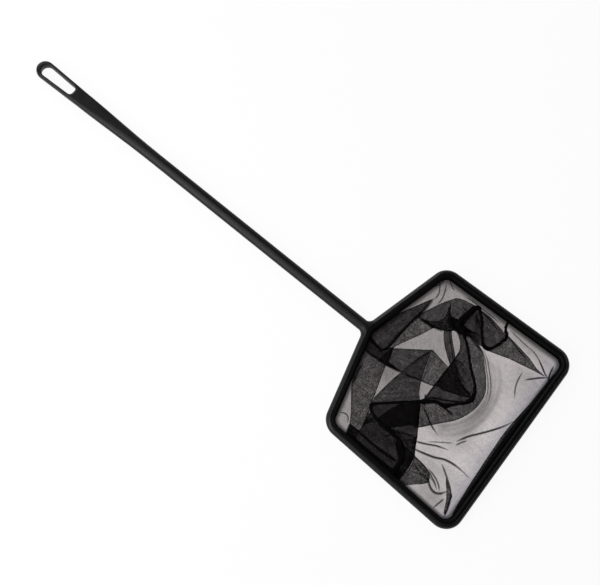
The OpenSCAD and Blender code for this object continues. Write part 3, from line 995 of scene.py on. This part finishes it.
# %% [markdown]
# ## The seam
#
# The two panels are joined by an overlocked seam: the raw edges lie together as a flat
# cord, and a thread winds round them. The cord is a loft along the seam's path, wider where
# it is bunched up. The thread is a curve with a round bevel that winds round the cord.

# %% Where the seam is bunched, and how wide it is there
# Each bunch: its middle, how far it reaches, and how much wider the seam gets
bunches = [
    ((130.5, 61), 3, 1.2), ((128.3, 53), 6, 1.1), ((127, 44), 4, 1.7), ((165.5, 7.5), 5, 1.8),
    ((153.5, -8.3), 4.5, 1.6), ((141, -14), 5, 1.8), ((131, -44.4), 8, 1.4), ((145, -46.5), 5, 1.6),
    ((158.5, 58), 3.5, 0.7), ((152, 42), 4, 1.1), ((114.5, -38.5), 3, 0.5), ((152.3, -60), 6, 1.5),
]
seam_w, seam_h = 1.75, 1.1


def uneven(amount, *where):
    """A factor near 1 that changes smoothly with place. Fixed numbers act as a seed."""
    return 1 + amount * noise.noise(where)


def seam_width(place, along):
    """The seam's width at a place: plain, but for small waves and its bunches."""
    wide = seam_w * uneven(0.45, along * 0.4, 3, 7)
    for middle, reach, extra in bunches:
        wide += extra * math.exp(-((place - Vector(middle)).length / reach) ** 2)
    return wide


def resample(line, step):
    """Points at even distances along a line."""
    points, left = [line[0]], step
    for a, b in zip(line, line[1:]):
        length, done = (b - a).length, 0
        while length - done >= left:
            done += left
            points.append(a.lerp(b, done / length))
            left = step
        left -= length - done
    return points


# %% Loft the seam's cord
seam_step, cord_sides, cord_lift, cord_sway = 0.6, 16, 0.15, 0.5
# How far past the mesh's edge the seam runs, and over how many rings its height is softened
end_reach, soft_rings_each_way = 0.3, 3
cord_line = resample(smooth_line(seam_path, False, 1), seam_step)
cord_depth = depth_inside(np.array(cord_line), head_outline)
cord_line = [p for p, depth in zip(cord_line, cord_depth) if depth > -end_reach]
cord_ways = headings(cord_line)
cord_base = pile_height(np.array(cord_line), len(folds)) + cord_lift
# The pile's steps are softened, because a cord is stiffer than the mesh
spread = 2 * soft_rings_each_way + 1
cord_base = np.pad(cord_base, soft_rings_each_way, mode="edge")
cord_base = np.convolve(cord_base, np.ones(spread) / spread, mode="valid")
cord_rings = []
for n, (place, way) in enumerate(zip(cord_line, cord_ways)):
    across = left_of(way)
    place = place + across * cord_sway * noise.noise((n * 0.22, 5, 1))
    wide = seam_width(place, n * seam_step)
    high = seam_h * uneven(0.25, n * 0.5, 9, 2)
    hoop = []
    for k in range(cord_sides):
        a = math.tau * k / cord_sides
        lump = uneven(0.5, n * 0.45, 4 * math.cos(a), 4 * math.sin(a))
        side, lift = wide / 2 * math.cos(a) * lump, high / 2 * (1 + math.sin(a) * lump)
        hoop.append((*(place + across * side), cord_base[n] + lift))
    cord_rings.append(hoop)
seam = finish_piece(loft(cord_rings), "seam", crease_deg=70)
print("seam rings:", len(cord_rings))

# %% Wind the thread round it
# The thread's radius, and how far outside the cord and above it the thread runs
thread_r, thread_out, thread_up = 0.15, 0.08, 0.1
turns_per_ring, points_per_ring = 0.55, 5
thread = bpy.data.curves.new("thread", "CURVE")
thread.dimensions = "3D"
thread.bevel_depth = thread_r * MM
thread.bevel_resolution = 0
spline = thread.splines.new("POLY")
winding = []
for n in range(len(cord_line) - 1):
    for k in range(points_per_ring):
        share = k / points_per_ring
        place = cord_line[n].lerp(cord_line[n + 1], share)
        across = left_of(cord_ways[n])
        angle = math.tau * turns_per_ring * (n + share)
        reach = (seam_width(place, n * seam_step) / 2 + thread_out) * uneven(0.25, n * 0.9, 1, 5)
        side, lift = reach * math.cos(angle), (seam_h / 2 + thread_up) * (1 + math.sin(angle))
        height = cord_base[n] + (cord_base[n + 1] - cord_base[n]) * share + lift
        winding.append((*(place + across * side), height))
spline.points.add(len(winding) - 1)
for point, co in zip(spline.points, winding):
    point.co = (*(Vector(co) * MM), 1)
thread_piece = bpy.data.objects.new("thread", thread)
scene.collection.objects.link(thread_piece)
wound = bpy.data.meshes.new_from_object(thread_piece)
join_meshes([seam.data, wound], seam.data)
bpy.data.objects.remove(thread_piece)
print("seam length, mm:", round(len(cord_line) * seam_step), " faces:", len(seam.data.polygons))

# %% [markdown]
# ## Shader maths
#
# A material is a small graph of nodes. Written one node at a time it is hard to read, so
# this class lets sockets be added and multiplied like numbers, and makes the Math nodes.


# %% A socket that does arithmetic
class Shade:
    """An output socket in a material. Arithmetic on it adds Math nodes."""

    def __init__(self, tree, socket=None):
        self.tree, self.socket = tree, socket

    def node(self, kind, settings=None, sockets=None, output=0):
        """Adds a node with its settings and its sockets' values or links, and gives one output."""
        made = self.tree.nodes.new(kind)
        for key, value in (settings or {}).items():
            setattr(made, key, value)
        for key, value in (sockets or {}).items():
            if isinstance(value, Shade):
                self.tree.links.new(value.socket, made.inputs[key])
            else:
                made.inputs[key].default_value = value
        return Shade(self.tree, made.outputs[output]) if made.outputs else None

    def math(self, operation, *others):
        """A Math node on this value and others."""
        values = dict(enumerate((self, *others)))
        return self.node("ShaderNodeMath", {"operation": operation}, values)

    def other(self, output):
        """Another output of the node that this one comes from."""
        return Shade(self.tree, self.socket.node.outputs[output])

    def __add__(self, other):
        return self.math("ADD", other)

    def __sub__(self, other):
        return self.math("SUBTRACT", other)

    def __rsub__(self, other):
        return (self * -1).math("ADD", other)

    def __mul__(self, other):
        return self.math("MULTIPLY", other)

    __radd__, __rmul__ = __add__, __mul__

    def noise(self, size_mm, detail=2.0):
        """Cloudy noise of a size, read at this place, from 0 to 1."""
        sockets = {"Vector": self, "Scale": 1 / (size_mm * MM), "Detail": detail}
        return self.node("ShaderNodeTexNoise", {}, sockets)

    def blend(self, colour_a, colour_b):
        """A colour between two, by this share."""
        sockets = {0: self, 6: (*colour_a, 1), 7: (*colour_b, 1)}
        return self.node("ShaderNodeMix", {"data_type": "RGBA"}, sockets, 2)

    def bump(self, strength, distance_mm):
        """A normal that treats this value as a height."""
        sockets = {"Height": self, "Strength": strength, "Distance": distance_mm * MM}
        return self.node("ShaderNodeBump", {}, sockets)


def new_material(name):
    """An empty material, and a Shade to build its nodes with."""
    material = bpy.data.materials.new(name)
    material.use_nodes = True
    material.node_tree.nodes.clear()
    return material, Shade(material.node_tree)


def show(shade, surface):
    """Sends a shader to the material's output."""
    shade.node("ShaderNodeOutputMaterial", {}, {"Surface": surface})


# %% [markdown]
# ## Moulded plastic
#
# The moulding is black polypropylene with a satin spark finish: tiny pits from the mould
# that soften its reflections, slightly uneven gloss from the flow of the melt, and a faint
# warmth in its black. The ring gets a deeper, duller black, so it renders darker than the moulding.


# %% Make the plastics
def plastic(name, dark, light, roughness, unevenness, pit_depth, specular):
    """A moulded plastic: two near blacks, its roughness, and the depth of its spark finish."""
    material, shade = new_material(name)
    place = shade.node("ShaderNodeTexCoord", output="Object")
    flow = place.noise(9, 3.0)
    pits = place.noise(0.28, 2.0)
    scuffs = place.noise(1.6, 4.0)
    surface = shade.node("ShaderNodeBsdfPrincipled", {}, {
        "Base Color": (0.6 * flow + 0.4 * scuffs).blend(dark, light),
        "Roughness": roughness + unevenness * (flow - 0.5) + unevenness * (scuffs - 0.5),
        "Specular IOR Level": specular,
        "Normal": (pits + 0.6 * scuffs).bump(0.35, pit_depth),
    })
    show(shade, surface)
    return material


satin_black = plastic(
    "satin_black", dark=(0.0020, 0.0020, 0.0021), light=(0.0050, 0.0050, 0.0054),
    roughness=0.42, unevenness=0.14, pit_depth=0.05, specular=0.22,
)
deep_black = plastic(
    "deep_black", dark=(0.0010, 0.0010, 0.0011), light=(0.0025, 0.0025, 0.0028),
    roughness=0.5, unevenness=0.12, pit_depth=0.04, specular=0.07,
)
print("plastics:", satin_black.name, deep_black.name)

# %% [markdown]
# ## The mesh
#
# The bag is a fine net with about two openings to the millimetre. Modelling each thread
# would take millions of faces, so transparency does it: two waves cross at right angles,
# and where both are high there is an opening. The cover that each point carries sets how
# much shows through, and speckle how much that varies, in grains and in streaks that run
# along each sheet's weave. The threads have a rounded height for the bump.

# %% Make the mesh
# Two crossed waves are high on average by the square of 2 / pi
mean_opening, hole_contrast = 4 / math.pi**2, 1.2


def net(name):
    """A see-through knitted net that follows the weave map and the cover of each piece."""
    material, shade = new_material(name)
    weave = shade.node("ShaderNodeUVMap", {"uv_map": "weave"})
    u = shade.node("ShaderNodeSeparateXYZ", {}, {0: weave})
    v = u.other(1)
    place = shade.node("ShaderNodeTexCoord", output="Object")
    drift = 0.7 * (place.noise(2.2, 2.0) - 0.5)
    first = (math.pi * (u + v + drift)).math("SINE").math("ABSOLUTE")
    second = (math.pi * (u - v + drift)).math("SINE").math("ABSOLUTE")
    opening = first * second
    cover = shade.node("ShaderNodeAttribute", {"attribute_name": "cover"}, output="Fac")
    speckle = shade.node("ShaderNodeAttribute", {"attribute_name": "speckle"}, output="Fac")
    # Streaks run along each sheet's own weave, as the mesh does when it is pulled that way
    along = shade.node("ShaderNodeCombineXYZ", {}, {0: 0.02 * u, 1: 0.32 * v})
    streak = shade.node("ShaderNodeTexNoise", {}, {"Vector": along, "Scale": 1.0, "Detail": 3.0})
    grain = 0.65 * (place.noise(0.85, 1.0) - 0.5) + 0.25 * (place.noise(2.8, 2.0) - 0.5)
    grain = speckle * (grain + 0.28 * (streak - 0.5))
    # Less of the floor shows where the mesh is packed, and more through each opening
    seen = (1 - cover) * (1 + grain) * (1 - hole_contrast * mean_opening + hole_contrast * opening)
    cloud = place.noise(5, 2.0)
    shine = 2.4 * place.noise(0.9, 2.0) - 0.7
    surface = shade.node("ShaderNodeBsdfPrincipled", {}, {
        "Base Color": shine.blend((0.0002, 0.0002, 0.0002), (0.0042, 0.0033, 0.0036)),
        "Roughness": 0.62 + 0.2 * cloud,
        "Specular IOR Level": 0.03,
        "Alpha": 1 - seen,
        "Normal": (1 - opening).bump(0.4, 0.08),
    })
    show(shade, surface)
    return material


mesh_net = net("mesh_net")
print("the mesh's average opening:", round(mean_opening, 3))


# %% Make the thread's finish
def thread_finish(name):
    """Black overlock thread: matt, with a fine twist."""
    material, shade = new_material(name)
    place = shade.node("ShaderNodeTexCoord", output="Object")
    fibre, clump = place.noise(0.12, 3.0), place.noise(0.8, 2.0)
    surface = shade.node("ShaderNodeBsdfPrincipled", {}, {
        "Base Color": clump.blend((0.0008, 0.0008, 0.0008), (0.0028, 0.0026, 0.0028)),
        "Roughness": 0.7 + 0.2 * fibre,
        "Specular IOR Level": 0.04,
        "Normal": fibre.bump(0.6, 0.1),
    })
    show(shade, surface)
    return material


black_thread = thread_finish("black_thread")
print("materials of the bag:", mesh_net.name, black_thread.name)

# %% [markdown]
# ## The stage
#
# The photograph has a pure white ground. A white floor is lit like everything else, so it
# would come out a little grey. The camera and the reflections see it partly glow, which
# lifts it to white and keeps a faint shadow, and adds no light to the net. What is seen
# through the mesh is a little warm, so the floor has that colour behind the mesh, and beside
# the base bar it also carries a painted cooler light, which makes it a little blue.

# %% Lay the floor
# The warm white is the colour the mesh gives the floor, the blue white is painted cooler light
warm_white, cool_light_white = (1, 0.925, 0.93), (0.968, 0.925, 1)
# In metres: where the painted cooler light starts to turn the floor blue, and how fast
cool_light_from, cool_light_per_m = 0.188, 100
floor_size, floor_drop = 40000, 0.1


def white_ground(name, glow):
    """A white floor that is seen partly as light."""
    material, shade = new_material(name)
    seen = shade.node("ShaderNodeLightPath", output="Is Camera Ray")
    glossy, through = seen.other("Is Glossy Ray"), seen.other("Is Transmission Ray")
    behind_mesh = seen.other("Transparent Depth").math("MINIMUM", 1)
    matt = shade.node("ShaderNodeBsdfDiffuse", {}, {"Color": (0.9, 0.9, 0.9, 1)})
    place = shade.node("ShaderNodeTexCoord", output="Object")
    ahead = shade.node("ShaderNodeSeparateXYZ", {}, {0: place})
    # Painted cooler light: behind the mesh the floor turns blue beside the base bar
    cool_light_share = (cool_light_per_m * (ahead - cool_light_from)).math("MAXIMUM", 0).math("MINIMUM", 1)
    mixed = {0: behind_mesh, 6: (1, 1, 1, 1), 7: cool_light_share.blend(warm_white, cool_light_white)}
    tint = shade.node("ShaderNodeMix", {"data_type": "RGBA"}, mixed, 2)
    light = shade.node("ShaderNodeEmission", {}, {"Color": tint, "Strength": 1.0})
    share = glow * seen.math("MAXIMUM", glossy).math("MAXIMUM", through)
    show(shade, shade.node("ShaderNodeMixShader", {}, {0: share, 1: matt, 2: light}))
    return material


ground_bm = bmesh.new()
bmesh.ops.create_grid(ground_bm, x_segments=1, y_segments=1, size=floor_size)
bmesh.ops.translate(ground_bm, vec=(0, 0, -floor_drop), verts=ground_bm.verts)
ground = finish_piece(ground_bm, "ground", outwards=False)
ground.data.materials.append(white_ground("white_ground", 0.92))
ground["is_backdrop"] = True

# %% [markdown]
# ## The light
#
# Black plastic shows mostly what it reflects. The rod is bright along its lower-left edge,
# has a thinner light line along its other edge and is dark on top, and the roof sides of
# the head shine too. One big lamp above would light none of these edges. So three soft
# boxes stand on the left of the picture, one of them over the handle's side, a weak one
# stands at the upper right, and the room is dimmer above and beyond the base bar.

# %% Set the soft boxes
def soft_box(name, place, aim, size, watts):
    """A soft area light, given its place, what it faces, its width and length, and its power."""
    lamp = bpy.data.objects.new(name, bpy.data.lights.new(name, "AREA"))
    lamp.data.shape = "RECTANGLE"
    lamp.data.size, lamp.data.size_y = size
    lamp.data.energy = watts
    lamp.location = Vector(place)
    lamp.rotation_euler = (Vector(aim) - lamp.location).to_track_quat("-Z", "Y").to_euler()
    lamp.visible_camera = False
    scene.collection.objects.link(lamp)


soft_box("over_handle", (-0.18, -0.30, 0.48), (-0.15, 0, 0), (0.38, 0.74), 2.8)
soft_box("lower_left", (-0.25, -0.95, 0.45), (0.05, 0, 0), (0.8, 0.7), 5.8)
soft_box("upper_left", (-1.00, 0.42, 0.42), (0.05, 0, 0), (0.7, 0.7), 7.5)
soft_box("upper_right", (0.35, 1.0, 0.45), (0.05, 0, 0), (0.6, 0.6), 1.1)

# %% Make the room that the plastic reflects
sky = bpy.data.worlds.new("sky")
sky.use_nodes = True
sky.node_tree.nodes.clear()
shade = Shade(sky.node_tree)
way = shade.node("ShaderNodeTexCoord", output="Generated")
ahead = shade.node("ShaderNodeSeparateXYZ", {}, {0: way})
up = ahead.other(2)
horizon_level, zenith_level, dimmer_ahead = 0.6, 0.12, 0.6
falloff = (1 - up.math("MAXIMUM", 0)).math("POWER", 3)
level = zenith_level + (horizon_level - zenith_level) * falloff
# The room is darker beyond the base bar, and the camera sees it white
level = level * (1 - dimmer_ahead * ahead.math("MAXIMUM", 0))
seen = shade.node("ShaderNodeLightPath", output="Is Camera Ray")
level = level + seen * (1 - level)
glow = shade.node("ShaderNodeBackground", {}, {"Color": (1, 1, 1, 1), "Strength": level})
shade.node("ShaderNodeOutputWorld", {}, {"Surface": glow})
scene.world = sky
print("room, from overhead to its horizon:", zenith_level, "to", horizon_level)

# %% [markdown]
# ## Dressing
#
# Each piece gets its material, rides on the net's body and takes the place of its CAD node,
# which is hidden. The two panels are cloth: each is a rectangle of mesh, and the flattened
# folds hold most of it.

# %% Give each piece its material and its place in the model
dressed = [
    (moulding, satin_black, "handle_frame", "moulded_plastic"),
    (ring, deep_black, "retaining_ring", "ring_plastic"),
    (hem, mesh_net, "bag_hem", "mesh"),
    (panels["handle"], mesh_net, "bag_handle_panel", "mesh"),
    (panels["base"], mesh_net, "bag_base_panel", "mesh"),
    (seam, black_thread, "bag_seam", "seam"),
]
for piece, material, node, slot in dressed:
    piece.data.materials.clear()
    piece.data.materials.append(material)
    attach(piece, "root")
    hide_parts(node)

# %% Measure the bounds of the dressed net
low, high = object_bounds()
